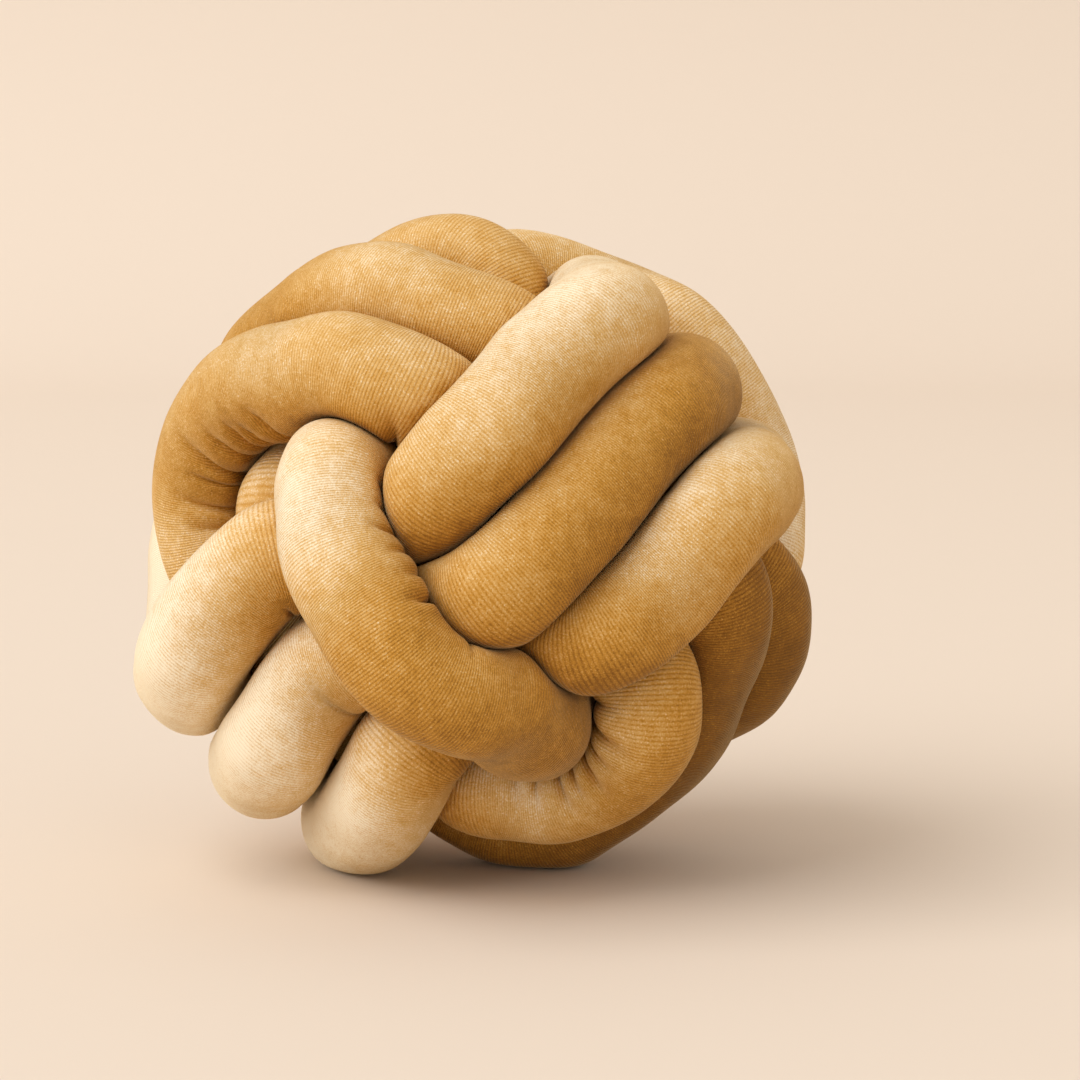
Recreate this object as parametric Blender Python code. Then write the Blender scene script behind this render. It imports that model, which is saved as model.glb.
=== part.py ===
"""Knot cushion: one long stuffed tube of ribbed velvet, tied into a ball that sits on a floor.

The tube makes three families of turns, as in a monkey's fist knot. Each family turns about one
of three square axes of the knot, passes over a second family and under the third. Both tube ends
are tucked into the ball.

Units are metres, +Z is up, and the origin is on the floor under the middle of the ball.
"""

import math

import bpy
import numpy as np
from mathutils.bvhtree import BVHTree

# The ball and its tube
BALL_CENTRE = (-0.0025, 0.0075, 0.147)
TUBE_RADIUS = 0.0255
FLOOR_PRESS = 0.0045
END_TAPER = 0.022
BLUNT_END = 0.08

# The knot's square axes: the front pole leans to the lower left, and the second pole points to
# the lower right. The third follows from them.
FRONT_POLE = (-0.333, -0.922, -0.197)
RIGHT_POLE = (0.677, -0.090, -0.731)

# How tightly the soft tube packs
CROSSING_DISTANCE = 0.040
PARALLEL_EXTRA = 0.008
OUTERMOST_CENTRELINE = 0.137
STRAND_GAP = 0.0006
NEIGHBOUR_REACH = 3 * TUBE_RADIUS
CONTACT_SOFTNESS = 0.003
BEND_LIMIT = 0.80

# Settling the centreline
POINT_SPACING = 0.0086
SETTLING_ROUNDS = 300
STATION_PULL = 0.25
PULL_SPREAD = 3
BEND_STIFFNESS = 0.06
TENSION = 0.03
CONTACT_PUSH = 0.40
FLOOR_PUSH = 0.50
OUTER_PUSH = 0.30
OWN_POINTS = 8
OWN_LENGTH = 0.070
FINE_SPACING = 0.004

# The surface
RINGS = 372
SIDES = 14
BEND_CROWDING = 1.3
CLEARANCE = 0.0002
RELIEF_STEP = 0.0003
RELIEF_ROUNDS = 40

# Velvet, as its Principled material shows it
VELVET_COLOUR = (0.58, 0.33, 0.09, 1.0)
VELVET_ROUGHNESS = 0.85

# Where the tube's centreline goes, from one tucked end to the other. The columns r, c and t are
# distances from the ball's centre along the right pole, the third pole and the front pole.
# "R" turns cross the upper right, "L" the lower left, "T" the upper left, "D" the lower right.
STATIONS = (
    # name, r, c, t
    ("tucked start", -0.021, 0.030, -0.015),
    ("start under T3", -0.064, 0.040, -0.064),
    ("start rises", -0.042, 0.031, -0.106),
    ("back turn 1", 0.000, 0.016, -0.113),
    ("back turn 1 falls", 0.030, 0.008, -0.102),
    ("under back turn 2", 0.047, -0.014, -0.083),
    ("under back turn 3", 0.050, -0.054, -0.068),
    ("R3 rises", 0.057, -0.096, -0.045),
    ("R3 far", 0.058, -0.110, -0.005),
    ("R3", 0.068, -0.084, 0.060),
    ("R3 near", 0.059, -0.053, 0.083),
    ("3 under C", 0.037, -0.006, 0.055),
    ("L3 near", 0.041, 0.031, 0.090),
    ("L3", 0.055, 0.064, 0.087),
    ("L3 low", 0.059, 0.113, 0.048),
    ("L3 far", 0.042, 0.103, -0.031),
    ("3 under back", 0.015, 0.006, -0.060),
    ("R2 rises", 0.008, -0.097, -0.043),
    ("R2 far", 0.015, -0.123, -0.013),
    ("R2", 0.017, -0.090, 0.070),
    ("R2 near", 0.034, -0.049, 0.097),
    ("2 under C", 0.008, -0.008, 0.074),
    ("L2 near", -0.003, 0.030, 0.090),
    ("L2", 0.007, 0.082, 0.098),
    ("L2 low", 0.010, 0.129, 0.045),
    ("L2 far", -0.006, 0.109, -0.034),
    ("2 under back", -0.034, 0.006, -0.070),
    ("R1 rises", -0.038, -0.096, -0.047),
    ("R1 far", -0.025, -0.122, -0.002),
    ("R1", -0.027, -0.094, 0.070),
    ("R1 near", -0.024, -0.056, 0.094),
    ("1 under C", -0.026, -0.001, 0.074),
    ("L1 near", -0.052, 0.024, 0.092),
    ("L1", -0.045, 0.086, 0.099),
    ("L1 low", -0.041, 0.129, 0.044),
    ("L1 turns up", -0.089, 0.098, -0.010),
    ("T3 left", -0.110, 0.065, -0.045),
    ("T3", -0.121, -0.001, -0.050),
    ("T3 top", -0.095, -0.041, -0.038),
    ("T3 right", -0.090, -0.079, -0.030),
    ("T3 under R", -0.002, -0.051, -0.026),
    ("D3 right", 0.103, -0.067, -0.036),
    ("D3", 0.119, 0.002, -0.047),
    ("D3 under L", 0.003, 0.069, -0.019),
    ("T2 left", -0.072, 0.064, -0.002),
    ("T2", -0.119, 0.006, -0.002),
    ("T2 top", -0.118, -0.027, 0.007),
    ("T2 right", -0.103, -0.061, 0.019),
    ("T2 falls", -0.073, -0.079, 0.027),
    ("T2 under R", 0.002, -0.079, 0.010),
    ("D2 right", 0.101, -0.060, 0.012),
    ("D2", 0.122, -0.015, 0.001),
    ("D2 low", 0.114, 0.067, 0.014),
    ("D2 under L", 0.000, 0.078, 0.030),
    ("T1 left", -0.088, 0.066, 0.038),
    ("T1", -0.105, 0.043, 0.036),
    ("T1 upper left", -0.115, 0.008, 0.046),
    ("T1 top", -0.096, -0.030, 0.060),
    ("T1 right", -0.065, -0.058, 0.069),
    ("T1 under R", -0.002, -0.057, 0.053),
    ("D1 right", 0.103, -0.036, 0.055),
    ("D1", 0.101, -0.002, 0.051),
    ("D1 low", 0.095, 0.023, 0.052),
    ("D1 left", 0.077, 0.049, 0.057),
    ("E under L3", 0.044, 0.045, 0.036),
    ("E under L2", -0.004, 0.030, 0.040),
    ("E", -0.065, 0.030, 0.054),
    ("E under T", -0.082, 0.010, 0.000),
    ("back turn 2", 0.000, -0.040, -0.119),
    ("back turn 2 falls", 0.055, -0.033, -0.112),
    ("back turn 2 dives", 0.082, -0.002, -0.072),
    ("C under D", 0.075, 0.014, -0.010),
    ("C rises", 0.069, -0.009, 0.056),
    ("C right", 0.057, -0.021, 0.095),
    ("C low", 0.037, -0.017, 0.117),
    ("C", 0.004, -0.016, 0.126),
    ("C left", -0.028, -0.013, 0.123),
    ("C top", -0.041, -0.023, 0.098),
    ("C dives", -0.046, -0.019, 0.060),
    ("C under T", -0.071, -0.037, -0.012),
    ("back turn 3 rises", -0.062, -0.070, -0.092),
    ("back turn 3", -0.014, -0.099, -0.096),
    ("back turn 3 right", 0.030, -0.098, -0.096),
    ("back turn 3 falls", 0.062, -0.084, -0.088),
    ("back turn 3 dives", 0.086, -0.050, -0.064),
    ("end under D", 0.076, -0.031, -0.013),
    ("tucked end", 0.020, -0.018, 0.012),
)


def unit(vector):
    return vector / np.linalg.norm(vector, axis=-1, keepdims=True)


def knot_axes():
    """Rows are the right pole, the third pole and the front pole, square to each other."""
    front = unit(np.array(FRONT_POLE))
    right = np.array(RIGHT_POLE)
    right = unit(right - right.dot(front) * front)
    return np.array((right, np.cross(right, front), front))


def spline(points, spacing):
    """A smooth line through the points, and the index on it of each of them."""
    ends = np.vstack((2 * points[0] - points[1], points, 2 * points[-1] - points[-2]))
    line = []
    places = []
    for before, start, stop, after in zip(ends, ends[1:], ends[2:], ends[3:]):
        places.append(len(line))
        steps = max(2, round(np.linalg.norm(stop - start) / spacing))
        for u in np.arange(steps) / steps:
            slope = stop - before
            bend = 2 * before - 5 * start + 4 * stop - after
            twist = 3 * start - before - 3 * stop + after
            line.append(start + 0.5 * (slope * u + bend * u**2 + twist * u**3))
    places.append(len(line))
    line.append(points[-1])
    return np.array(line), np.array(places)


def stiffened(line):
    """One step of the tube's own stiffness and tension."""
    tension = np.zeros_like(line)
    tension[1:-1] = line[:-2] + line[2:] - 2 * line[1:-1]
    bend = np.zeros_like(line)
    bend[1:-1] = tension[:-2] + tension[2:] - 2 * tension[1:-1]
    return line + TENSION * tension - BEND_STIFFNESS * bend


def station_pull(line, places, stations):
    """How far each point is drawn to its station, spread over the points beside it."""
    pull = np.zeros_like(line)
    pull[places] = STATION_PULL * (stations - line[places])
    for _ in range(PULL_SPREAD):
        pull[1:-1] = 0.5 * pull[1:-1] + 0.25 * (pull[:-2] + pull[2:])
    return pull


def contact_push(line, others):
    """How far each point is pushed by the other strands. Crossing strands press in more."""
    along = unit(np.gradient(line, axis=0))
    apart = line[:, None] - line[None]
    distance = np.linalg.norm(apart, axis=2) + 1e-9
    wanted = CROSSING_DISTANCE + PARALLEL_EXTRA * np.abs(along @ along.T)
    overlap = np.where(others, np.clip(wanted - distance, 0, None), 0)
    push = (apart * (overlap / distance)[..., None]).sum(axis=1)
    touching = np.maximum((overlap > 0).sum(axis=1), 1)
    return CONTACT_PUSH * push / touching[:, None]


def settled(stations, up):
    """The centreline after its strands have pressed against each other and the floor."""
    line, places = spline(stations, POINT_SPACING)
    number = np.arange(len(line))
    others = np.abs(number[:, None] - number) > OWN_POINTS
    lowest = TUBE_RADIUS - FLOOR_PRESS - BALL_CENTRE[2]
    for _ in range(SETTLING_ROUNDS):
        line = stiffened(stiffened(line))
        line += station_pull(line, places, stations)
        line += contact_push(line, others)
        line += FLOOR_PUSH * np.clip(lowest - line @ up, 0, None)[:, None] * up
        radius = np.linalg.norm(line, axis=1, keepdims=True)
        line *= 1 - OUTER_PUSH * np.clip(1 - OUTERMOST_CENTRELINE / radius, 0, None)
    return line


def lengths(line):
    """The distance along the line to each of its points."""
    steps = np.linalg.norm(np.diff(line, axis=0), axis=1)
    return np.concatenate(([0], np.cumsum(steps)))


def curvature(line):
    """The direction and amount in which the line bends at each point."""
    along = unit(np.gradient(line, axis=0))
    return np.gradient(along, axis=0) / np.gradient(lengths(line))[:, None]


def resampled(line, wanted):
    """Points of the line at the wanted distances along it."""
    distance = lengths(line)
    slopes = np.gradient(line, distance, axis=0)
    place = np.clip(np.searchsorted(distance, wanted, side="right") - 1, 0, len(line) - 2)
    step = (distance[place + 1] - distance[place])[:, None]
    u = (wanted - distance[place])[:, None] / step
    return (
        (2 * u**3 - 3 * u**2 + 1) * line[place]
        + (u**3 - 2 * u**2 + u) * step * slopes[place]
        + (3 * u**2 - 2 * u**3) * line[place + 1]
        + (u**3 - u**2) * step * slopes[place + 1]
    )


def ring_places(line):
    """Distances along the line for the rings, which crowd where the tube bends."""
    distance = lengths(line)
    bend = np.linalg.norm(curvature(line), axis=1) * TUBE_RADIUS
    crowding = 1 + BEND_CROWDING * np.clip(bend, 0, 1)
    total = np.concatenate(([0], np.cumsum(np.diff(distance) * crowding[1:])))
    return np.interp(np.linspace(0, total[-1], RINGS), total, distance)


def ring_directions(line):
    """Outward directions of each ring's points, carried along the tube without twist."""
    along = unit(np.gradient(line, axis=0))
    side = np.cross(along[0], (0.0, 0.0, 1.0))
    sides = []
    for direction in along:
        side = unit(side - side.dot(direction) * direction)
        sides.append(side)
    sides = np.array(sides)
    ups = np.cross(along, sides)
    angle = np.arange(SIDES)[:, None] * 2 * math.pi / SIDES
    return sides[:, None] * np.cos(angle) + ups[:, None] * np.sin(angle)


def free_radius(point, directions, place, line, distance):
    """How far the tube reaches in each direction before it meets another strand halfway."""
    apart = line - point
    squared = (apart**2).sum(axis=1)
    other = (np.abs(distance - place) > OWN_LENGTH) & (squared < NEIGHBOUR_REACH**2)
    if not other.any():
        return np.full(len(directions), TUBE_RADIUS)
    facing = np.maximum(directions @ apart[other].T + STRAND_GAP, 1e-6)
    halfway = ((squared[other] - STRAND_GAP**2) / (2 * facing)).min(axis=1)
    blend = np.clip(0.5 + 0.5 * (halfway - TUBE_RADIUS) / CONTACT_SOFTNESS, 0, 1)
    soft = halfway * (1 - blend) + TUBE_RADIUS * blend
    return np.minimum(halfway, soft - CONTACT_SOFTNESS * blend * (1 - blend))


def end_taper(place, total):
    """Rounds off both tucked ends."""
    inside = np.clip(np.minimum(place, total - place) / END_TAPER, BLUNT_END, 1)
    return math.sqrt(1 - (1 - inside) ** 2)


def tube_rings(line):
    """The centre, the outward directions and the radii of each ring round the settled centreline."""
    total = lengths(line)[-1]
    fine = resampled(line, np.arange(0, total, FINE_SPACING))
    distance = lengths(fine)
    places = ring_places(line)
    centres = resampled(line, places)
    directions = ring_directions(centres)
    radii = []
    for centre, spokes, place, bend in zip(centres, directions, places, curvature(centres)):
        radius = free_radius(centre, spokes, place, fine, distance)
        inner = np.maximum(spokes @ bend, 1e-6)
        radii.append(np.minimum(radius, BEND_LIMIT / inner) * end_taper(place, total))
    return centres, directions, np.array(radii)


def surface_points(centres, directions, radii):
    """Every ring's points in order, then the two end points."""
    rings = centres[:, None] + directions * radii[..., None]
    return np.vstack((rings.reshape(-1, 3), centres[0], centres[-1]))


def tube_triangles():
    """Two triangles for each step along and round the tube, and a fan at each end."""
    triangles = []
    start = RINGS * SIDES
    last = start - SIDES
    for side in range(SIDES):
        beside = (side + 1) % SIDES
        triangles.append((start, side, beside))
        triangles.append((start + 1, last + beside, last + side))
        for ring in range(0, last, SIDES):
            ahead = ring + SIDES
            triangles.append((ring + side, ahead + side, ahead + beside))
            triangles.append((ring + side, ahead + beside, ring + beside))
    return triangles


def meeting_points(points, triangles):
    """The ring points whose triangles cut another part of the tube."""
    tree = BVHTree.FromPolygons(points.tolist(), triangles)
    meeting = set()
    for first, second in tree.overlap(tree):
        if not set(triangles[first]) & set(triangles[second]):
            meeting.update(triangles[first] + triangles[second])
    return [point for point in meeting if point < RINGS * SIDES]


def relieved(centres, directions, radii, triangles):
    """The radii, drawn in wherever flat facets would bring two strands too close."""
    for _ in range(RELIEF_ROUNDS):
        swollen = surface_points(centres, directions, radii + CLEARANCE)
        meeting = meeting_points(swollen, triangles)
        if not meeting:
            break
        radii.ravel()[meeting] -= RELIEF_STEP
    return radii


def velvet():
    material = bpy.data.materials.new("mustard_velvet")
    material.diffuse_color = VELVET_COLOUR
    material.use_nodes = True
    shader = material.node_tree.nodes["Principled BSDF"]
    shader.inputs["Base Color"].default_value = VELVET_COLOUR
    shader.inputs["Roughness"].default_value = VELVET_ROUGHNESS
    shader.inputs["Metallic"].default_value = 0.0
    return material


def make_tube():
    axes = knot_axes()
    stations = np.array([station[1:] for station in STATIONS])
    line = settled(stations, axes[:, 2])
    centres, directions, radii = tube_rings(line)
    triangles = tube_triangles()
    radii = relieved(centres, directions, radii, triangles)
    points = surface_points(centres, directions, radii) @ axes + BALL_CENTRE
    points[:, 2] = np.maximum(points[:, 2], 0)
    mesh = bpy.data.meshes.new("knot_tube")
    mesh.from_pydata(points.tolist(), [], triangles)
    mesh.shade_smooth()
    mesh.materials.append(velvet())
    tube = bpy.data.objects.new("knot_tube", mesh)
    bpy.context.scene.collection.objects.link(tube)


for existing in list(bpy.data.objects):
    bpy.data.objects.remove(existing)
make_tube()
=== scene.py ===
import math

import bpy
import numpy as np
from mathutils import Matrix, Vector


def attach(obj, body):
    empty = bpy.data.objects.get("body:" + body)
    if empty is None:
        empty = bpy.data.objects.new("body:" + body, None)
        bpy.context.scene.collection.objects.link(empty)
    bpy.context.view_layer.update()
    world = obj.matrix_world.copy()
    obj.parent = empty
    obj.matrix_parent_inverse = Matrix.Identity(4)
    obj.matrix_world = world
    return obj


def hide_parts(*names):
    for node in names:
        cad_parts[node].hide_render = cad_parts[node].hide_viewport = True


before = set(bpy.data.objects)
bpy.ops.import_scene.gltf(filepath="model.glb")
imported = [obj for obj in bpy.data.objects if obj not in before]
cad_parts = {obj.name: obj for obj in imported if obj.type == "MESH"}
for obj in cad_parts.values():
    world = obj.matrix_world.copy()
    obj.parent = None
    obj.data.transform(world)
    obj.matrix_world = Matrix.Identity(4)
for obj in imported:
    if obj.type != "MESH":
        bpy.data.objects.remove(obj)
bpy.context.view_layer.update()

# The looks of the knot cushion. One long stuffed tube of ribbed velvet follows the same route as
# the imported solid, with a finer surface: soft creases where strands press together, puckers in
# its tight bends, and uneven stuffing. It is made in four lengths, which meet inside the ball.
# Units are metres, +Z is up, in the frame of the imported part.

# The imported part's own sizes
BALL_CENTRE = (-0.0025, 0.0075, 0.147)
TUBE_RADIUS = 0.0255
FLOOR_PRESS = 0.0045
END_TAPER = 0.022
BLUNT_END = 0.08
FRONT_POLE = (-0.333, -0.922, -0.197)
RIGHT_POLE = (0.677, -0.090, -0.731)
CONTACT_SOFTNESS = 0.0035
BEND_LIMIT = 0.80

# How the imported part's centreline settles on its route
POINT_SPACING = 0.0086
SETTLING_ROUNDS = 300
STATION_PULL = 0.25
PULL_SPREAD = 3
BEND_STIFFNESS = 0.06
TENSION = 0.03
CROSSING_DISTANCE = 0.040
PARALLEL_EXTRA = 0.008
OWN_POINTS = 8
CONTACT_PUSH = 0.40
FLOOR_PUSH = 0.50
OUTERMOST_CENTRELINE = 0.137
OUTER_PUSH = 0.30

# The finer surface: rings of points along the tube
RINGS = 4600
SIDES = 60
FINE_SPACING = 0.003
BEND_CROWDING = 1.3
CROWDING_SMOOTHING = 2
CENTRE_SMOOTHING = 30
BEND_SMOOTHING = 12
RADIUS_SMOOTHING = 8
FLOOR_ROUNDING = 0.003

# Where strands meet. Points less than the own length along the tube are of the same strand
OWN_LENGTH = 0.070
NEIGHBOUR_REACH = 3 * TUBE_RADIUS
STRAND_GAP = 0.0004
# How far a strand is pressed in before its painted crevice shade is full, and how many rounds that
# shade spreads round the tube
CREVICE_DEPTH = 0.004
CREVICE_SPREAD = 8

# Guards against dividing by zero
SMALLEST_DISTANCE = 1e-9
SMALLEST_FACING = 1e-6

# Low uneven swells of the stuffing
LUMP_SEED = 5
LUMPS = (
    # size across, height
    (0.060, 0.0006),
    (0.028, 0.0004),
)
LUMP_WAVES = 7
LUMP_SIZE_RANGE = (0.8, 1.3)
PHASE_RANGE = (0, 6.3)

# Puckers: folds across the inner side of each tight bend, where the velvet is too long for it.
# They start at the slack and are deepest at the full squeeze, each above a threshold of its own.
# A range after a size is a share of that size. A low ridge lies on either side of each fold.
PUCKER_SEED = 11
PUCKER_SPACING = 0.0150
PUCKER_SPACING_RANGE = (0.65, 1.45)
PUCKER_DEPTH = 0.0034
PUCKER_DEPTH_RANGE = (0.45, 1.1)
PUCKER_WIDTH = 0.0034
PUCKER_WIDTH_RANGE = (0.8, 1.35)
PUCKER_THRESHOLD_RANGE = (0.0, 0.35)
PUCKER_SLACK = 0.45
PUCKER_FULL = 0.80
PUCKER_MOST = 1.3
PUCKER_LEAN = 0.12
PUCKER_REACH = 6
VALLEY_POWER = 1.3
RIDGE_HEIGHT = 0.22
RIDGE_PLACE = 2.0
RIDGE_SPREAD = 0.8

# The folds seen at the front, each across the tube at a place along it. A fold is narrow in its
# middle, opens towards both ends and fades out there.
FOLD_WAIST = 0.6
FOLD_OPENING = 0.6
FOLD_POWER = 1.4
FOLD_FADING = 1.5
FOLDS = (
    # station, metres after it, degrees round the tube, depth, half width, degrees reached, lean
    ("T1 left", 0.000, 110, 0.0030, 0.0036, 44, 0.003),
    ("T1 left", 0.013, 114, 0.0046, 0.0034, 54, 0.004),
    ("T1", 0.002, 116, 0.0036, 0.0026, 40, 0.002),
    ("T1", 0.013, 120, 0.0060, 0.0040, 64, 0.008),
    ("T1", 0.030, 114, 0.0046, 0.0036, 46, 0.005),
    ("T1 upper left", 0.008, 112, 0.0052, 0.0036, 44, 0.003),
    ("T1 upper left", 0.018, 112, 0.0034, 0.0028, 36, 0.000),
    ("T1 upper left", 0.031, 116, 0.0060, 0.0030, 44, -0.003),
    ("T1 right", 0.010, 126, 0.0044, 0.0026, 48, -0.006),
    ("D1 right", 0.000, 134, 0.0040, 0.0026, 46, 0.000),
    ("D1 right", 0.010, 140, 0.0062, 0.0028, 54, 0.003),
    ("D1 right", 0.020, 138, 0.0046, 0.0024, 46, 0.002),
    ("D1 right", 0.032, 142, 0.0074, 0.0030, 60, 0.003),
    ("D1", 0.008, 140, 0.0060, 0.0026, 54, 0.000),
    ("D1", 0.018, 142, 0.0074, 0.0030, 64, -0.003),
    ("D1 low", 0.000, 136, 0.0058, 0.0026, 52, -0.002),
    ("D1 low", 0.011, 134, 0.0044, 0.0030, 48, -0.004),
    ("C low", 0.012, 66, 0.0028, 0.0026, 40, 0.000),
    ("C", 0.003, 74, 0.0050, 0.0024, 46, 0.003),
    ("C", 0.015, 74, 0.0024, 0.0024, 38, 0.000),
    ("C", 0.026, 74, 0.0022, 0.0024, 36, 0.000),
    ("C left", 0.007, 70, 0.0050, 0.0024, 44, 0.003),
    ("C left", 0.021, 64, 0.0028, 0.0024, 40, 0.002),
    ("C top", 0.006, 60, 0.0022, 0.0024, 34, 0.000),
)

# The four lengths in which the tube is made, each from one station to the next in the list
PIECES = (
    # name, first station
    ("front_turns", "tucked start"),
    ("upper_left_turns", "2 under back"),
    ("lower_right_turns", "T2 under R"),
    ("centre_turns", "C under D"),
)

# Where the tube's centreline goes, from one tucked end to the other. The columns r, c and t are
# distances from the ball's centre along the right pole, the third pole and the front pole.
# "R" turns cross the upper right, "L" the lower left, "T" the upper left, "D" the lower right.
STATIONS = (
    # name, r, c, t
    ("tucked start", -0.021, 0.030, -0.015),
    ("start under T3", -0.064, 0.040, -0.064),
    ("start rises", -0.042, 0.031, -0.106),
    ("back turn 1", 0.000, 0.016, -0.113),
    ("back turn 1 falls", 0.030, 0.008, -0.102),
    ("under back turn 2", 0.047, -0.014, -0.083),
    ("under back turn 3", 0.050, -0.054, -0.068),
    ("R3 rises", 0.057, -0.096, -0.045),
    ("R3 far", 0.058, -0.110, -0.005),
    ("R3", 0.068, -0.084, 0.060),
    ("R3 near", 0.059, -0.053, 0.083),
    ("3 under C", 0.037, -0.006, 0.055),
    ("L3 near", 0.041, 0.031, 0.090),
    ("L3", 0.055, 0.064, 0.087),
    ("L3 low", 0.059, 0.113, 0.048),
    ("L3 far", 0.042, 0.103, -0.031),
    ("3 under back", 0.015, 0.006, -0.060),
    ("R2 rises", 0.008, -0.097, -0.043),
    ("R2 far", 0.015, -0.123, -0.013),
    ("R2", 0.017, -0.090, 0.070),
    ("R2 near", 0.034, -0.049, 0.097),
    ("2 under C", 0.008, -0.008, 0.074),
    ("L2 near", -0.003, 0.030, 0.090),
    ("L2", 0.007, 0.082, 0.098),
    ("L2 low", 0.010, 0.129, 0.045),
    ("L2 far", -0.006, 0.109, -0.034),
    ("2 under back", -0.034, 0.006, -0.070),
    ("R1 rises", -0.038, -0.096, -0.047),
    ("R1 far", -0.025, -0.122, -0.002),
    ("R1", -0.027, -0.094, 0.070),
    ("R1 near", -0.024, -0.056, 0.094),
    ("1 under C", -0.026, -0.001, 0.074),
    ("L1 near", -0.052, 0.024, 0.092),
    ("L1", -0.045, 0.086, 0.099),
    ("L1 low", -0.041, 0.129, 0.044),
    ("L1 turns up", -0.089, 0.098, -0.010),
    ("T3 left", -0.110, 0.065, -0.045),
    ("T3", -0.121, -0.001, -0.050),
    ("T3 top", -0.095, -0.041, -0.038),
    ("T3 right", -0.090, -0.079, -0.030),
    ("T3 under R", -0.002, -0.051, -0.026),
    ("D3 right", 0.103, -0.067, -0.036),
    ("D3", 0.119, 0.002, -0.047),
    ("D3 under L", 0.003, 0.069, -0.019),
    ("T2 left", -0.072, 0.064, -0.002),
    ("T2", -0.119, 0.006, -0.002),
    ("T2 top", -0.118, -0.027, 0.007),
    ("T2 right", -0.103, -0.061, 0.019),
    ("T2 falls", -0.073, -0.079, 0.027),
    ("T2 under R", 0.002, -0.079, 0.010),
    ("D2 right", 0.101, -0.060, 0.012),
    ("D2", 0.122, -0.015, 0.001),
    ("D2 low", 0.114, 0.067, 0.014),
    ("D2 under L", 0.000, 0.078, 0.030),
    ("T1 left", -0.088, 0.066, 0.038),
    ("T1", -0.105, 0.043, 0.036),
    ("T1 upper left", -0.115, 0.008, 0.046),
    ("T1 top", -0.096, -0.030, 0.060),
    ("T1 right", -0.065, -0.058, 0.069),
    ("T1 under R", -0.002, -0.057, 0.053),
    ("D1 right", 0.103, -0.036, 0.055),
    ("D1", 0.101, -0.002, 0.051),
    ("D1 low", 0.095, 0.023, 0.052),
    ("D1 left", 0.077, 0.049, 0.057),
    ("E under L3", 0.044, 0.045, 0.036),
    ("E under L2", -0.004, 0.030, 0.040),
    ("E", -0.065, 0.030, 0.054),
    ("E under T", -0.082, 0.010, 0.000),
    ("back turn 2", 0.000, -0.040, -0.119),
    ("back turn 2 falls", 0.055, -0.033, -0.112),
    ("back turn 2 dives", 0.082, -0.002, -0.072),
    ("C under D", 0.075, 0.014, -0.010),
    ("C rises", 0.069, -0.009, 0.056),
    ("C right", 0.057, -0.021, 0.095),
    ("C low", 0.037, -0.017, 0.117),
    ("C", 0.004, -0.016, 0.126),
    ("C left", -0.028, -0.013, 0.123),
    ("C top", -0.041, -0.023, 0.098),
    ("C dives", -0.046, -0.019, 0.060),
    ("C under T", -0.071, -0.037, -0.012),
    ("back turn 3 rises", -0.062, -0.070, -0.092),
    ("back turn 3", -0.014, -0.099, -0.096),
    ("back turn 3 right", 0.030, -0.098, -0.096),
    ("back turn 3 falls", 0.062, -0.084, -0.088),
    ("back turn 3 dives", 0.086, -0.050, -0.064),
    ("end under D", 0.076, -0.031, -0.013),
    ("tucked end", 0.020, -0.018, 0.012),
)


def unit(vector):
    return vector / np.linalg.norm(vector, axis=-1, keepdims=True)


def knot_axes():
    """Rows are the right pole, the third pole and the front pole, square to each other."""
    front = unit(np.array(FRONT_POLE))
    right = np.array(RIGHT_POLE)
    right = unit(right - right.dot(front) * front)
    return np.array((right, np.cross(right, front), front))


def spline(points, spacing):
    """A smooth line through the points, and the index on it of each of them."""
    ends = np.vstack((2 * points[0] - points[1], points, 2 * points[-1] - points[-2]))
    line = []
    places = []
    for before, start, stop, after in zip(ends, ends[1:], ends[2:], ends[3:]):
        places.append(len(line))
        steps = max(2, round(np.linalg.norm(stop - start) / spacing))
        for u in np.arange(steps) / steps:
            slope = stop - before
            bend = 2 * before - 5 * start + 4 * stop - after
            twist = 3 * start - before - 3 * stop + after
            line.append(start + 0.5 * (slope * u + bend * u**2 + twist * u**3))
    places.append(len(line))
    line.append(points[-1])
    return np.array(line), np.array(places)


def stiffened(line):
    """One step of the tube's own stiffness and tension."""
    tension = np.zeros_like(line)
    tension[1:-1] = line[:-2] + line[2:] - 2 * line[1:-1]
    bend = np.zeros_like(line)
    bend[1:-1] = tension[:-2] + tension[2:] - 2 * tension[1:-1]
    return line + TENSION * tension - BEND_STIFFNESS * bend


def station_pull(line, places, stations):
    """How far each point is drawn to its station, spread over the points beside it."""
    pull = np.zeros_like(line)
    pull[places] = STATION_PULL * (stations - line[places])
    for _ in range(PULL_SPREAD):
        pull[1:-1] = 0.5 * pull[1:-1] + 0.25 * (pull[:-2] + pull[2:])
    return pull


def contact_push(line, others):
    """How far each point is pushed by the other strands. Crossing strands press in more."""
    along = unit(np.gradient(line, axis=0))
    apart = line[:, None] - line[None]
    distance = np.linalg.norm(apart, axis=2) + SMALLEST_DISTANCE
    wanted = CROSSING_DISTANCE + PARALLEL_EXTRA * np.abs(along @ along.T)
    overlap = np.where(others, np.clip(wanted - distance, 0, None), 0)
    push = (apart * (overlap / distance)[..., None]).sum(axis=1)
    touching = np.maximum((overlap > 0).sum(axis=1), 1)
    return CONTACT_PUSH * push / touching[:, None]


def settled(stations, up):
    """The centreline after its strands have pressed on each other and the floor, and its stations."""
    line, places = spline(stations, POINT_SPACING)
    number = np.arange(len(line))
    others = np.abs(number[:, None] - number) > OWN_POINTS
    lowest = TUBE_RADIUS - FLOOR_PRESS - BALL_CENTRE[2]
    for _ in range(SETTLING_ROUNDS):
        line = stiffened(stiffened(line))
        line += station_pull(line, places, stations)
        line += contact_push(line, others)
        line += FLOOR_PUSH * np.clip(lowest - line @ up, 0, None)[:, None] * up
        radius = np.linalg.norm(line, axis=1, keepdims=True)
        line *= 1 - OUTER_PUSH * np.clip(1 - OUTERMOST_CENTRELINE / radius, 0, None)
    return line, places


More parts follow.
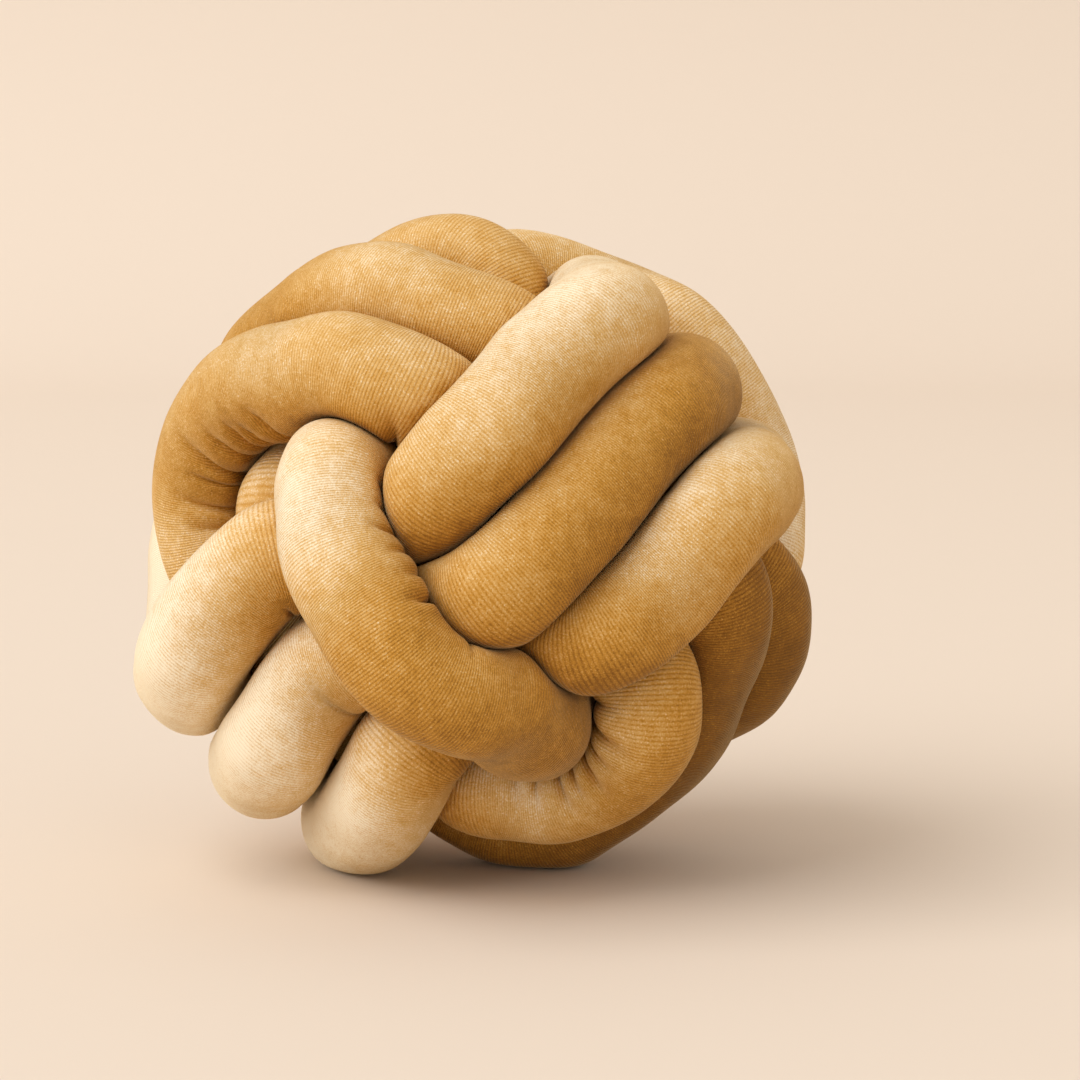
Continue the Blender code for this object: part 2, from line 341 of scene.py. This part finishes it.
def lengths(line):
    """The distance along the line to each of its points."""
    steps = np.linalg.norm(np.diff(line, axis=0), axis=1)
    return np.concatenate(([0], np.cumsum(steps)))


def curvature(line):
    """The direction and amount in which the line bends at each point."""
    along = unit(np.gradient(line, axis=0))
    return np.gradient(along, axis=0) / np.gradient(lengths(line))[:, None]


def resampled(line, wanted):
    """Points of the line at the wanted distances along it."""
    distance = lengths(line)
    slopes = np.gradient(line, distance, axis=0)
    place = np.clip(np.searchsorted(distance, wanted, side="right") - 1, 0, len(line) - 2)
    step = (distance[place + 1] - distance[place])[:, None]
    u = (wanted - distance[place])[:, None] / step
    return (
        (2 * u**3 - 3 * u**2 + 1) * line[place]
        + (u**3 - 2 * u**2 + u) * step * slopes[place]
        + (3 * u**2 - 2 * u**3) * line[place + 1]
        + (u**3 - u**2) * step * slopes[place + 1]
    )


def smoothed(values, rounds):
    """Values along the line, each drawn towards its neighbours."""
    for _ in range(rounds):
        inner = 0.5 * values[1:-1] + 0.25 * (values[:-2] + values[2:])
        values = np.concatenate((values[:1], inner, values[-1:]))
    return values


def ring_places(line):
    """Distances along the line for the rings, which crowd where the tube bends."""
    distance = lengths(line)
    bend = np.linalg.norm(curvature(line), axis=1) * TUBE_RADIUS
    crowding = 1 + BEND_CROWDING * smoothed(np.clip(bend, 0, 1), CROWDING_SMOOTHING)
    total = np.concatenate(([0], np.cumsum(np.diff(distance) * crowding[1:])))
    return np.interp(np.linspace(0, total[-1], RINGS), total, distance)


def ring_directions(line):
    """Outward directions of each ring's points, carried along the tube without twist."""
    along = unit(np.gradient(line, axis=0))
    side = np.cross(along[0], (0.0, 0.0, 1.0))
    sides = []
    for direction in along:
        side = unit(side - side.dot(direction) * direction)
        sides.append(side)
    sides = np.array(sides)
    ups = np.cross(along, sides)
    angle = np.arange(SIDES)[:, None] * 2 * math.pi / SIDES
    return sides[:, None] * np.cos(angle) + ups[:, None] * np.sin(angle)


def lumps(points):
    """Low uneven swells of the stuffing, as a height at each point."""
    random = np.random.default_rng(LUMP_SEED)
    height = np.zeros(len(points))
    for size, tall in LUMPS:
        for _ in range(LUMP_WAVES):
            direction = unit(random.normal(size=3))
            wave = direction * 2 * math.pi / (size * random.uniform(*LUMP_SIZE_RANGE))
            phase = random.uniform(*PHASE_RANGE)
            height += tall / math.sqrt(LUMP_WAVES) * np.sin(points @ wave + phase)
    return height


def free_radius(point, directions, place, line, distance, full):
    """How far the tube reaches in each direction before it meets another strand halfway."""
    apart = line - point
    squared = (apart**2).sum(axis=1)
    other = (np.abs(distance - place) > OWN_LENGTH) & (squared < NEIGHBOUR_REACH**2)
    if not other.any():
        return full
    facing = np.maximum(directions @ apart[other].T + STRAND_GAP, SMALLEST_FACING)
    halfway = ((squared[other] - STRAND_GAP**2) / (2 * facing)).min(axis=1)
    blend = np.clip(0.5 + 0.5 * (halfway - full) / CONTACT_SOFTNESS, 0, 1)
    soft = halfway * (1 - blend) + full * blend
    return np.minimum(halfway, soft - CONTACT_SOFTNESS * blend * (1 - blend))


def pucker_depths(places, directions, bends):
    """How far the folds across the tight bends sink in, at each ring point."""
    random = np.random.default_rng(PUCKER_SEED)
    amount = np.linalg.norm(bends, axis=1)
    inner = np.einsum("rsk,rk->rs", directions, bends / (amount[:, None] + SMALLEST_DISTANCE))
    squeeze = TUBE_RADIUS * amount[:, None] * np.clip(inner, 0, 1)
    excess = np.clip((squeeze - PUCKER_SLACK) / (PUCKER_FULL - PUCKER_SLACK), 0, PUCKER_MOST)
    depth = np.zeros(inner.shape)
    sideways = np.linspace(0, 2 * math.pi, SIDES, endpoint=False)
    fold = 0.0
    while fold < places[-1]:
        fold += PUCKER_SPACING * random.uniform(*PUCKER_SPACING_RANGE)
        deep = PUCKER_DEPTH * random.uniform(*PUCKER_DEPTH_RANGE)
        wide = PUCKER_WIDTH * random.uniform(*PUCKER_WIDTH_RANGE)
        threshold = random.uniform(*PUCKER_THRESHOLD_RANGE)
        tilt = PUCKER_LEAN * TUBE_RADIUS * random.normal()
        lean = tilt * np.sin(sideways + random.uniform(*PHASE_RANGE))
        near = np.abs(places - fold) < PUCKER_REACH * PUCKER_WIDTH
        if not near.any():
            continue
        along = np.abs((places[near, None] - fold - lean) / wide)
        ridge = RIDGE_HEIGHT * np.exp(-((along - RIDGE_PLACE) ** 2) / RIDGE_SPREAD)
        shown = np.clip((excess[near] - threshold) / (1 - threshold), 0, 1)
        depth[near] += deep * (np.exp(-(along**VALLEY_POWER)) - ridge) * shown
    return depth


def fold_depths(places, stations_at):
    """How far the front folds sink in, at each ring point."""
    round_tube = np.linspace(0, 360, SIDES, endpoint=False)
    depth = np.zeros((RINGS, SIDES))
    for station, after, towards, deep, wide, reach, lean in FOLDS:
        turn = ((round_tube - towards + 180) % 360 - 180) / reach
        fold = stations_at[station] + after + lean * turn
        opening = wide * (FOLD_WAIST + FOLD_OPENING * np.abs(turn))
        along = np.abs(places[:, None] - fold) / opening
        fading = np.clip(1 - turn**2, 0, 1) ** FOLD_FADING
        depth += deep * np.exp(-(along**FOLD_POWER)) * fading
    return depth


def end_taper(places, total):
    """Rounds off both tucked ends."""
    inside = np.clip(np.minimum(places, total - places) / END_TAPER, BLUNT_END, 1)
    return np.sqrt(1 - (1 - inside) ** 2)


def painted_crevice_shade(gaps):
    """How deep in a crevice each ring point lies, 0 to 1, spread a little round the tube: the mask
    for painted crevice shade.
    """
    crevice_shade_mask = np.clip(gaps / CREVICE_DEPTH, 0, 1)
    for _ in range(CREVICE_SPREAD):
        beside = np.roll(crevice_shade_mask, 1, axis=1) + np.roll(crevice_shade_mask, -1, axis=1)
        crevice_shade_mask = 0.5 * crevice_shade_mask + 0.25 * beside
    return crevice_shade_mask


def tube_surface(line, stations_at):
    """Each ring's distance along the tube, centre and surface points, and how pressed they are, as
    the mask for painted crevice shade.
    """
    total = lengths(line)[-1]
    fine = resampled(line, np.arange(0, total, FINE_SPACING))
    distance = lengths(fine)
    places = ring_places(fine)
    centres = smoothed(resampled(fine, places), CENTRE_SMOOTHING)
    directions = ring_directions(centres)
    bends = smoothed(curvature(centres), BEND_SMOOTHING)
    rounded = centres[:, None] + directions * TUBE_RADIUS
    full = TUBE_RADIUS + lumps(rounded.reshape(-1, 3)).reshape(RINGS, SIDES)
    radii = np.empty((RINGS, SIDES))
    for ring in range(RINGS):
        radii[ring] = free_radius(
            centres[ring], directions[ring], places[ring], fine, distance, full[ring]
        )
    crevice_shade_mask = painted_crevice_shade(full - radii)
    inner = np.maximum(np.einsum("rsk,rk->rs", directions, bends), SMALLEST_FACING)
    radii = np.minimum(radii, BEND_LIMIT / inner) * end_taper(places, total)[:, None]
    radii = smoothed(radii, RADIUS_SMOOTHING)
    radii -= np.maximum(
        pucker_depths(places, directions, bends), fold_depths(places, stations_at)
    )
    return places, centres, centres[:, None] + directions * radii[..., None], crevice_shade_mask


# How pale the velvet is along the tube: 0 is deep mustard, 1 is pale cream, and below 0 it is darker
# still. The station values are partly the velvet's own brushed nap and partly painted sheen and
# shade, such as the darker turns on the shaded lower right. What faces the lit side is paler as a
# painted highlight and what faces away darker as painted shade, and a crevice is darker as painted
# shade.
PILE_AND_PAINTED_LIGHT = (
    # station, paleness
    ("tucked start", 0.30),
    ("back turn 1", 0.55),
    ("R3 rises", 0.60),
    ("R3 far", 0.54),
    ("R3", 0.44),
    ("R3 near", 0.24),
    ("3 under C", 0.21),
    ("L3 near", 0.30),
    ("L3", 0.87),
    ("L3 low", 1.00),
    ("L3 far", 0.40),
    ("3 under back", 0.30),
    ("R2 rises", 0.45),
    ("R2 far", 0.14),
    ("R2", 0.25),
    ("R2 near", 0.35),
    ("2 under C", 0.21),
    ("L2 near", 0.52),
    ("L2", 0.87),
    ("L2 low", 1.00),
    ("L2 far", 0.45),
    ("2 under back", 0.30),
    ("R1 rises", 0.70),
    ("R1 far", 0.66),
    ("R1", 0.54),
    ("R1 near", 0.32),
    ("1 under C", 0.21),
    ("L1 near", 0.33),
    ("L1", 0.93),
    ("L1 low", 1.00),
    ("L1 turns up", 0.85),
    ("T3 left", 0.40),
    ("T3", 0.14),
    ("T3 top", 0.21),
    ("T3 right", 0.35),
    ("T3 under R", 0.40),
    ("D3 right", -0.02),
    ("D3", 0.07),
    ("D3 under L", 0.45),
    ("T2 left", 0.21),
    ("T2", 0.09),
    ("T2 top", -0.05),
    ("T2 right", 0.40),
    ("T2 under R", 0.40),
    ("D2 right", -0.05),
    ("D2", -0.07),
    ("D2 low", 0.10),
    ("D2 under L", 0.55),
    ("T1 left", 0.42),
    ("T1", 0.19),
    ("T1 upper left", 0.22),
    ("T1 top", 0.30),
    ("T1 right", 0.45),
    ("D1 right", 0.38),
    ("D1", 0.35),
    ("D1 low", 0.58),
    ("D1 left", 0.35),
    ("E under L2", 0.30),
    ("E", 0.34),
    ("E under T", 0.30),
    ("back turn 2", 0.50),
    ("C under D", 0.14),
    ("C rises", 0.14),
    ("C low", 0.25),
    ("C", 0.30),
    ("C left", 0.48),
    ("C top", 0.66),
    ("C dives", 0.55),
    ("back turn 3 rises", 0.40),
    ("back turn 3 right", 0.65),
    ("back turn 3 falls", 0.85),
    ("tucked end", 0.50),
)
# The direction of the window light: what faces it is painted paler as a highlight, what faces away
# darker as shade
LIT_SIDE = (-0.62, -0.20, 0.76)
LIT_SIDE_PALENESS = 0.28
# How much darker the crevices are painted, as shade where strands press together
CREVICE_SHADE_DARKNESS = 0.45

# Velvet. Ribs and noises run from 0 to 1, and swing the paleness about their middle value
RIB_PITCH = 0.00100
RIB_MIDDLE = 0.64
NOISE_MIDDLE = 0.5
PATCH_NOISE = (16.0, 3.0, 0.55)  # scale, detail, roughness
CRUSH_NOISE = (150.0, 4.0, 0.65)
SPECK_NOISE = (1300.0, 2.0, 0.7)
RIB_PALENESS = 0.19
PATCH_PALENESS = 0.52
CRUSH_PALENESS = 0.48
SPECK_PALENESS = 0.80
GLINT_FROM = 0.60
GLINT_PALENESS = 1.3
RIB_HEIGHT = 0.00024
CRUSH_HEIGHT = 0.00010
SPECK_HEIGHT = 0.00010
PILE_TONES = (
    # paleness, colour
    (-0.40, (0.150, 0.061, 0.003)),
    (0.00, (0.290, 0.123, 0.008)),
    (0.30, (0.543, 0.261, 0.030)),
    (0.60, (0.705, 0.446, 0.160)),
    (1.00, (0.950, 0.840, 0.650)),
)
SHEEN_WEIGHT = 0.60
SHEEN_ROUGHNESS = 0.25
SHEEN_TINT = (1.0, 0.77, 0.43, 1.0)
VELVET_ROUGHNESS = 0.92

# Camera, light and floor
CAMERA_PLACE = (0.0290, -1.3325, 0.3137)
CAMERA_PITCH = 7.0
CAMERA_LENS = 100.0
CAMERA_SENSOR = 36.0
FLOOR_FRONT = -6.0
FLOOR_BACK = 3.0
FLOOR_HALF_WIDTH = 7.0
BACKDROP_BEND = 1.0
BACKDROP_STEPS = 16
BACKDROP_TOP = 4.0
FLOOR_COLOUR = (0.757, 0.675, 0.602, 1.0)
FLOOR_ROUGHNESS = 0.9
AIR_COLOUR = (1.0, 0.895, 0.765, 1.0)
AIR_STRENGTH = 0.76
VIEW_TRANSFORM = "Standard"
LIGHTS = (
    # name, place, size, watts, colour
    ("window_light", (-7.90, -4.50, 9.60), 12.0, 1270.0, (1.0, 0.985, 0.955)),
)
LIGHT_TARGET = (0.0, 0.0, 0.14)


def pile_and_painted_light_along(places, stations_at):
    """How pale the velvet is at each distance along the tube, partly its brushed nap and partly
    painted sheen and shade.
    """
    marks = [stations_at[station] for station, _ in PILE_AND_PAINTED_LIGHT]
    return np.interp(places, marks, [pale for _, pale in PILE_AND_PAINTED_LIGHT])


def faces_of(rings):
    """Four-sided faces for each step along and round a length of tube, and a fan at each end."""
    ring = np.arange(rings - 1)[:, None] * SIDES
    side = np.arange(SIDES)
    beside = (side + 1) % SIDES
    quads = np.stack((ring + side, ring + SIDES + side, ring + SIDES + beside, ring + beside), -1)
    end = rings * SIDES
    last = end - SIDES
    faces = quads.reshape(-1, 4).tolist()
    faces += [(end, a, b) for a, b in zip(side.tolist(), beside.tolist())]
    faces += [(end + 1, last + b, last + a) for a, b in zip(side.tolist(), beside.tolist())]
    return faces


def float_attribute(mesh, name, values):
    attribute = mesh.attributes.new(name, "FLOAT", "POINT")
    attribute.data.foreach_set("value", np.asarray(values, np.float32))


def tube_piece(name, places, centres, surface, pile_and_painted_light, material):
    """One length of the tube, closed at both ends, and pressed flat where it meets the floor."""
    rings = len(places)
    points = np.vstack((surface.reshape(-1, 3), centres[:1], centres[-1:]))
    height = points[:, 2]
    points[:, 2] = 0.5 * (height + np.sqrt(height**2 + FLOOR_ROUNDING**2))
    mesh = bpy.data.meshes.new(name)
    mesh.from_pydata(points.tolist(), [], faces_of(rings))
    mesh.shade_smooth()
    mesh.materials.append(material)
    along = np.concatenate((np.repeat(places, SIDES), places[:1], places[-1:]))
    float_attribute(mesh, "along", along)
    # Paler where the surface faces the window light and darker where it faces away: painted highlight
    # and shade
    normals = np.empty(len(points) * 3, np.float32)
    mesh.vertex_normals.foreach_get("vector", normals)
    side = normals.reshape(-1, 3) @ unit(np.array(LIT_SIDE))
    pale = np.concatenate((pile_and_painted_light.ravel(), pile_and_painted_light[0, :1], pile_and_painted_light[-1, :1]))
    float_attribute(mesh, "pile_and_painted_light", pale + LIT_SIDE_PALENESS * side)
    piece = bpy.data.objects.new(name, mesh)
    bpy.context.scene.collection.objects.link(piece)
    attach(piece, "root")
    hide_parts("knot_tube")


def make_tube():
    """The whole tube in its four lengths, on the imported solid's route."""
    axes = knot_axes()
    names = [name for name, *_ in STATIONS]
    stations = np.array([station[1:] for station in STATIONS])
    line, station_points = settled(stations, axes[:, 2])
    stations_at = dict(zip(names, lengths(line)[station_points]))
    places, centres, surface, crevice_shade_mask = tube_surface(line, stations_at)
    centres = centres @ axes + BALL_CENTRE
    surface = surface @ axes + BALL_CENTRE
    # Station paleness with its painted sheen and shade, less the painted shade of the crevices
    pile_and_painted_light = pile_and_painted_light_along(places, stations_at)[:, None] - CREVICE_SHADE_DARKNESS * crevice_shade_mask
    starts = [np.searchsorted(places, stations_at[station]) for _, station in PIECES]
    material = velvet()
    for (name, _), start, stop in zip(PIECES, starts, starts[1:] + [RINGS - 1]):
        some = slice(start, stop + 1)
        tube_piece(name, places[some], centres[some], surface[some], pile_and_painted_light[some], material)


def node(tree, kind, **inputs):
    """A node with values on some of its inputs."""
    made = tree.nodes.new(kind)
    for name, value in inputs.items():
        made.inputs[name.replace("_", " ")].default_value = value
    return made


def math_node(tree, operation, first, second):
    """A Math node; each of its two values is a number or another node's output."""
    made = tree.nodes.new("ShaderNodeMath")
    made.operation = operation
    for socket, value in zip(made.inputs, (first, second)):
        if isinstance(value, (int, float)):
            socket.default_value = value
        else:
            tree.links.new(value, socket)
    return made.outputs[0]


def attribute(tree, name):
    """A value that the mesh carries at its points."""
    made = tree.nodes.new("ShaderNodeAttribute")
    made.attribute_name = name
    return made.outputs["Fac"]


def noise(tree, place, kind):
    scale, detail, roughness = kind
    made = node(tree, "ShaderNodeTexNoise", Scale=scale, Detail=detail, Roughness=roughness)
    tree.links.new(place, made.inputs["Vector"])
    return made.outputs[0]


def velvet():
    """Ribbed velvet: fine ribs round the tube, a crushed nap, and a pale sheen, coloured by a
    paleness that carries painted highlight, sheen and shade.
    """
    material = bpy.data.materials.new("ribbed_velvet")
    material.use_nodes = True
    tree = material.node_tree
    shader = tree.nodes["Principled BSDF"]
    shader.inputs["Roughness"].default_value = VELVET_ROUGHNESS
    shader.inputs["Sheen Weight"].default_value = SHEEN_WEIGHT
    shader.inputs["Sheen Roughness"].default_value = SHEEN_ROUGHNESS
    shader.inputs["Sheen Tint"].default_value = SHEEN_TINT
    place = tree.nodes.new("ShaderNodeTexCoord").outputs["Object"]
    turn = math_node(tree, "MULTIPLY", attribute(tree, "along"), math.pi / RIB_PITCH)
    rib = math_node(tree, "ABSOLUTE", math_node(tree, "SINE", turn, 0.0), 0.0)
    patches = noise(tree, place, PATCH_NOISE)
    crush = noise(tree, place, CRUSH_NOISE)
    specks = noise(tree, place, SPECK_NOISE)
    # The paleness the mesh carries, with its painted highlight, sheen and shade
    pale = attribute(tree, "pile_and_painted_light")
    for value, middle, amount in (
        (patches, NOISE_MIDDLE, PATCH_PALENESS),
        (crush, NOISE_MIDDLE, CRUSH_PALENESS),
        (specks, NOISE_MIDDLE, SPECK_PALENESS),
        (rib, RIB_MIDDLE, RIB_PALENESS),
    ):
        swing = math_node(tree, "MULTIPLY", math_node(tree, "SUBTRACT", value, middle), amount)
        pale = math_node(tree, "ADD", pale, swing)
    glint = math_node(tree, "MAXIMUM", math_node(tree, "SUBTRACT", specks, GLINT_FROM), 0.0)
    pale = math_node(tree, "ADD", pale, math_node(tree, "MULTIPLY", glint, GLINT_PALENESS))
    darkest = PILE_TONES[0][0]
    place_on_ramp = math_node(tree, "SUBTRACT", pale, darkest)
    place_on_ramp = math_node(tree, "DIVIDE", place_on_ramp, 1 - darkest)
    ramp = tree.nodes.new("ShaderNodeValToRGB")
    tones = ramp.color_ramp.elements
    while len(tones) < len(PILE_TONES):
        tones.new(0.5)
    for tone, (paleness, colour) in zip(tones, PILE_TONES):
        tone.position = (paleness - darkest) / (1 - darkest)
        tone.color = (*colour, 1.0)
    tree.links.new(place_on_ramp, ramp.inputs["Fac"])
    tree.links.new(ramp.outputs["Color"], shader.inputs["Base Color"])
    height = math_node(tree, "MULTIPLY", rib, RIB_HEIGHT)
    for value, tall in ((crush, CRUSH_HEIGHT), (specks, SPECK_HEIGHT)):
        height = math_node(tree, "ADD", height, math_node(tree, "MULTIPLY", value, tall))
    bump = node(tree, "ShaderNodeBump", Strength=1.0, Distance=1.0)
    tree.links.new(height, bump.inputs["Height"])
    tree.links.new(bump.outputs["Normal"], shader.inputs["Normal"])
    return material


def make_camera():
    """The photo's camera: just above the cushion's top, and looking slightly down."""
    data = bpy.data.cameras.new("camera")
    data.lens = CAMERA_LENS
    data.sensor_width = CAMERA_SENSOR
    camera = bpy.data.objects.new("camera", data)
    camera.location = CAMERA_PLACE
    camera.rotation_euler = (math.radians(90 - CAMERA_PITCH), 0, 0)
    bpy.context.scene.collection.objects.link(camera)
    bpy.context.scene.camera = camera


def make_floor():
    """A pale floor that curves up into a backdrop far behind the cushion."""
    profile = [(FLOOR_FRONT, 0.0), (FLOOR_BACK, 0.0)]
    for angle in np.linspace(0, math.pi / 2, BACKDROP_STEPS + 1)[1:]:
        back = FLOOR_BACK + BACKDROP_BEND * math.sin(angle)
        profile.append((back, BACKDROP_BEND * (1 - math.cos(angle))))
    profile.append((FLOOR_BACK + BACKDROP_BEND, BACKDROP_TOP))
    points = [(x, y, z) for y, z in profile for x in (-FLOOR_HALF_WIDTH, FLOOR_HALF_WIDTH)]
    faces = [(i, i + 1, i + 3, i + 2) for i in range(0, len(points) - 2, 2)]
    mesh = bpy.data.meshes.new("floor")
    mesh.from_pydata(points, [], faces)
    mesh.shade_smooth()
    material = bpy.data.materials.new("pale_floor")
    material.use_nodes = True
    shader = material.node_tree.nodes["Principled BSDF"]
    shader.inputs["Base Color"].default_value = FLOOR_COLOUR
    shader.inputs["Roughness"].default_value = FLOOR_ROUGHNESS
    mesh.materials.append(material)
    floor = bpy.data.objects.new("floor", mesh)
    bpy.context.scene.collection.objects.link(floor)


def make_lights():
    """The air's own light, the studio's window, and how their tones are shown."""
    world = bpy.data.worlds.new("studio_air")
    world.use_nodes = True
    air = world.node_tree.nodes["Background"]
    air.inputs["Color"].default_value = AIR_COLOUR
    air.inputs["Strength"].default_value = AIR_STRENGTH
    bpy.context.scene.world = world
    bpy.context.scene.view_settings.view_transform = VIEW_TRANSFORM
    for name, place, size, watts, colour in LIGHTS:
        data = bpy.data.lights.new(name, "AREA")
        data.size = size
        data.energy = watts
        data.color = colour
        light = bpy.data.objects.new(name, data)
        light.location = place
        away = light.location - Vector(LIGHT_TARGET)
        light.rotation_euler = away.to_track_quat("Z", "Y").to_euler()
        bpy.context.scene.collection.objects.link(light)


make_camera()
make_lights()
make_floor()
make_tube()
